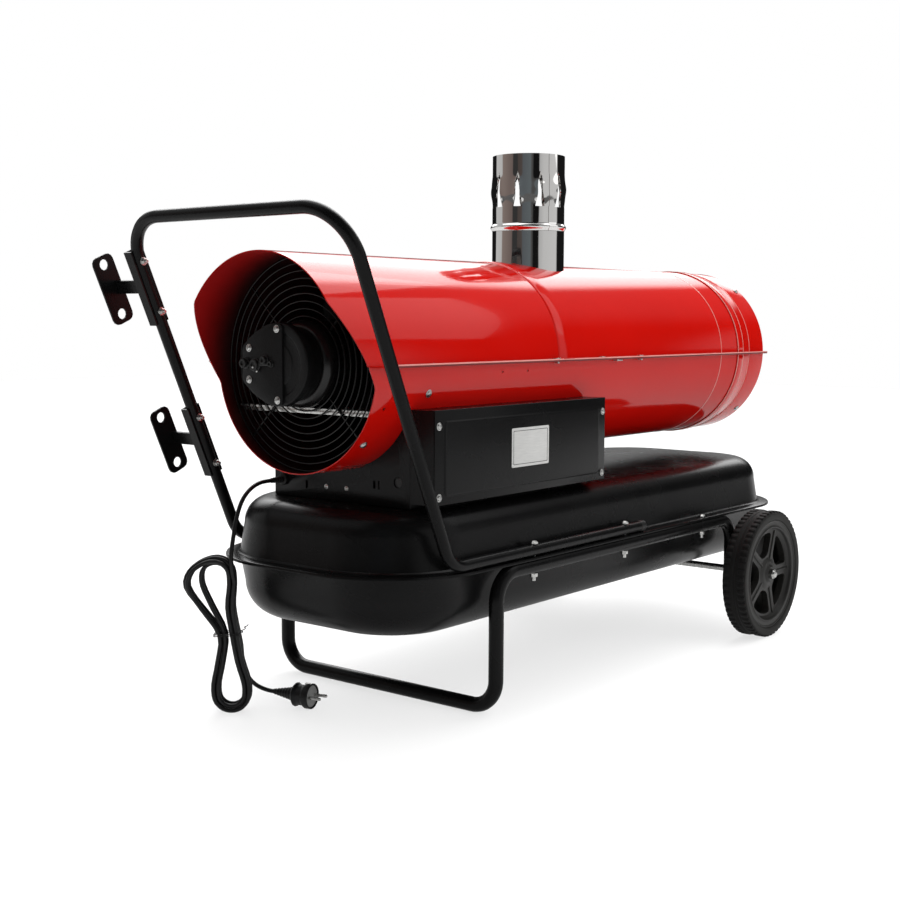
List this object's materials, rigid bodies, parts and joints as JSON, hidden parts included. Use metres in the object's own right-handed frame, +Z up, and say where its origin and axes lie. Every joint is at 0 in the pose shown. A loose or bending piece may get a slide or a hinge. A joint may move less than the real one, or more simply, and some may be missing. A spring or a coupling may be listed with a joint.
{
  "type": "indirect fired heater",
  "caption": "Indirect fired space heater: a round casing with a flue and an axial fan on a fuel tank, with a push handle, wheels, a control box and a mains lead.",
  "frame": {"origin": "on the ground under the middle of the heater's bounding box without its mains lead", "axes": "+X the way the hot air leaves, +Z up, -Y the side with the control box"},
  "size_m": [1.3024, 0.6086, 0.842],
  "materials": {
    "red_powder_coat": "gloss red powder coat",
    "black_powder_coat": "satin black powder coat",
    "black_plastic": "moulded black plastic",
    "tyre_rubber": "black rubber",
    "cord_jacket": "black rubber jacket",
    "mirror_steel": "polished stainless sheet",
    "zinc_plated_steel": "bright zinc plate",
    "heat_resisting_steel": "plain heat resisting steel",
    "cast_alloy": "black painted casting",
    "label_foil": "plain pale label foil",
    "board_laminate": "green laminate",
    "tinted_window": "dark red tinted window"
  },
  "bodies": {
    "heater": {"air_pump": "cast_alloy", "axle": "zinc_plated_steel", "axle_spacer_far": "zinc_plated_steel", "axle_spacer_near": "zinc_plated_steel", "burner_head": "heat_resisting_steel", "casing_inlet_panel": "red_powder_coat", "casing_lower_panel": "red_powder_coat", "casing_outlet_panel": "red_powder_coat", "combustion_chamber": "heat_resisting_steel", "control_board": "board_laminate", "control_box_body": "black_powder_coat", "control_box_cover": "black_powder_coat", "control_panel": "black_plastic", "cord_bracket_lower": "black_powder_coat", "cord_bracket_upper": "black_powder_coat", "cord_gland": "black_plastic", "cord_tie": "black_plastic", "display_window": "tinted_window", "exchanger_cradle_front": "heat_resisting_steel", "exchanger_cradle_rear": "heat_resisting_steel", "fan_guard": "black_powder_coat", "fan_motor": "cast_alloy", "filler_neck": "zinc_plated_steel", "flue_pipe": "mirror_steel", "frame_bolt_far_1": "zinc_plated_steel", "frame_bolt_far_2": "zinc_plated_steel", "frame_bolt_far_3": "zinc_plated_steel", "frame_bolt_near_1": "zinc_plated_steel", "frame_bolt_near_2": "zinc_plated_steel", "frame_bolt_near_3": "zinc_plated_steel", "fuel_gauge": "black_plastic", "fuel_line": "black_plastic", "fuel_pickup": "zinc_plated_steel", "fuel_strainer": "zinc_plated_steel", "heat_exchanger": "heat_resisting_steel", "hub_nut_far": "zinc_plated_steel", "hub_nut_near": "zinc_plated_steel", "ignition_transformer": "black_plastic", "motor_bracket": "zinc_plated_steel", "outlet_ring": "red_powder_coat", "power_cord_hank": "cord_jacket", "power_cord_lead": "cord_jacket", "power_cord_tail": "cord_jacket", "power_plug": "cord_jacket", "push_handle": "black_powder_coat", "rating_label": "label_foil", "saddle": "black_powder_coat", "tank_lower_shell": "black_powder_coat", "tank_upper_shell": "black_powder_coat", "undercarriage_frame": "black_powder_coat"},
    "wheel_near": {"wheel_rim_near": "black_plastic", "tyre_near": "tyre_rubber"},
    "wheel_far": {"wheel_rim_far": "black_plastic", "tyre_far": "tyre_rubber"},
    "fan_rotor": {"fan": "black_plastic"},
    "fuel_cap": {"filler_cap": "black_plastic"},
    "switch_rocker": {"power_switch": "black_plastic"},
    "thermostat_dial": {"thermostat_knob": "black_plastic"}
  },
  "joints": [
    {"name": "wheel_near_spin", "type": "hinge", "parent": "heater", "child": "wheel_near", "pos_m": [0.3912, -0.2755, 0.1143], "axis": [0, 1, 0], "continuous": true},
    {"name": "wheel_far_spin", "type": "hinge", "parent": "heater", "child": "wheel_far", "pos_m": [0.3912, 0.2755, 0.1143], "axis": [0, 1, 0], "continuous": true},
    {"name": "fan_spin", "type": "hinge", "parent": "heater", "child": "fan_rotor", "pos_m": [-0.3768, 0, 0.507], "axis": [1, 0, 0], "continuous": true},
    {"name": "fuel_cap_lift", "type": "slide", "parent": "heater", "child": "fuel_cap", "axis": [0, 0, 1], "range_m": [0, 0.04]},
    {"name": "switch_rock", "type": "hinge", "parent": "heater", "child": "switch_rocker", "pos_m": [-0.2632, 0.1303, 0.361], "axis": [1, 0, 0], "range_deg": [0, 16]},
    {"name": "thermostat_turn", "type": "hinge", "parent": "heater", "child": "thermostat_dial", "pos_m": [-0.2042, 0.1306, 0.361], "axis": [0, 1, 0], "range_deg": [0, 270]}
  ]
}
